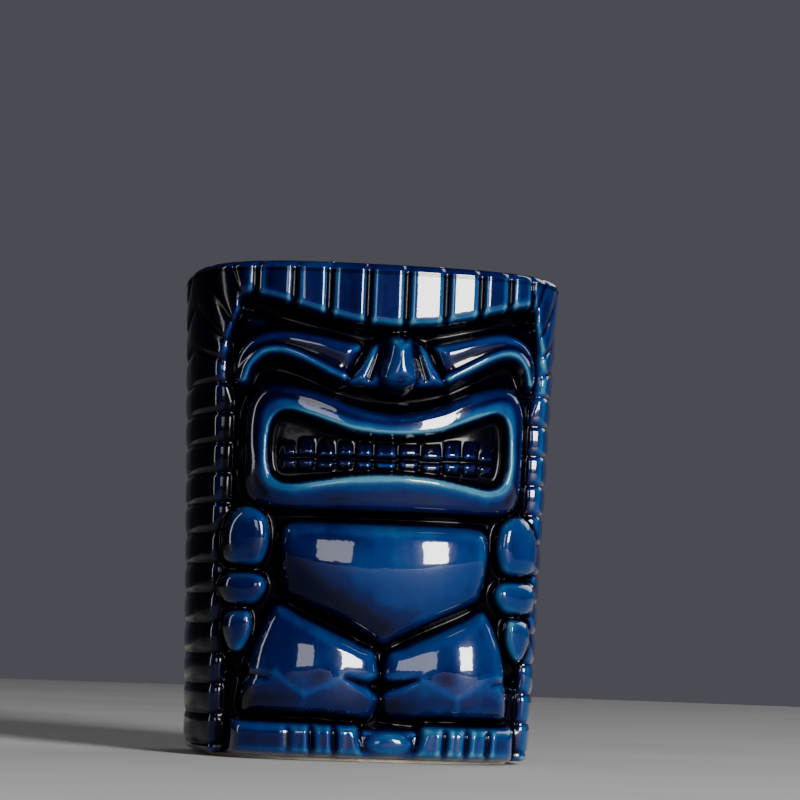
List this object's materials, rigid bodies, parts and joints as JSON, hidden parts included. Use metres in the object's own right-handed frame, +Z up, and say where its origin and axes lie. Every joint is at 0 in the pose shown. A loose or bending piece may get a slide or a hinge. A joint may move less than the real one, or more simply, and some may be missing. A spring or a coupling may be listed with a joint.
{
  "type": "tiki mug",
  "caption": "Tapered rounded-square ceramic drinking cup with a carved tiki figure in relief on its front.",
  "frame": {"origin": "centre of the whole mug's plan, on the surface that it stands on", "axes": "+Z up towards the rim, -Y the way the carved figure faces, +X the viewer's right when facing the figure"},
  "size_m": [0.0926, 0.0886, 0.12],
  "materials": {
    "cobalt_glaze": "gloss",
    "bare_stoneware": "matte"
  },
  "bodies": {
    "root": {"back_hair_ribs": "cobalt_glaze", "belly": "cobalt_glaze", "centre_boss": "cobalt_glaze", "cup_floor": "cobalt_glaze", "cup_wall": "cobalt_glaze", "foot_ring": "bare_stoneware", "hair_fringe": "cobalt_glaze", "left_brow": "cobalt_glaze", "left_eyelid": "cobalt_glaze", "left_foot": "cobalt_glaze", "left_forearm": "cobalt_glaze", "left_hair_ribs": "cobalt_glaze", "left_hand": "cobalt_glaze", "left_nostril": "cobalt_glaze", "left_shin": "cobalt_glaze", "left_temple_locks": "cobalt_glaze", "left_thigh": "cobalt_glaze", "left_toes": "cobalt_glaze", "left_upper_arm": "cobalt_glaze", "lip_ring": "cobalt_glaze", "lower_teeth": "cobalt_glaze", "muzzle": "cobalt_glaze", "nose": "cobalt_glaze", "right_brow": "cobalt_glaze", "right_eyelid": "cobalt_glaze", "right_foot": "cobalt_glaze", "right_forearm": "cobalt_glaze", "right_hair_ribs": "cobalt_glaze", "right_hand": "cobalt_glaze", "right_nostril": "cobalt_glaze", "right_shin": "cobalt_glaze", "right_temple_locks": "cobalt_glaze", "right_thigh": "cobalt_glaze", "right_toes": "cobalt_glaze", "right_upper_arm": "cobalt_glaze", "rim_lip": "cobalt_glaze", "upper_teeth": "cobalt_glaze"}
  },
  "joints": []
}
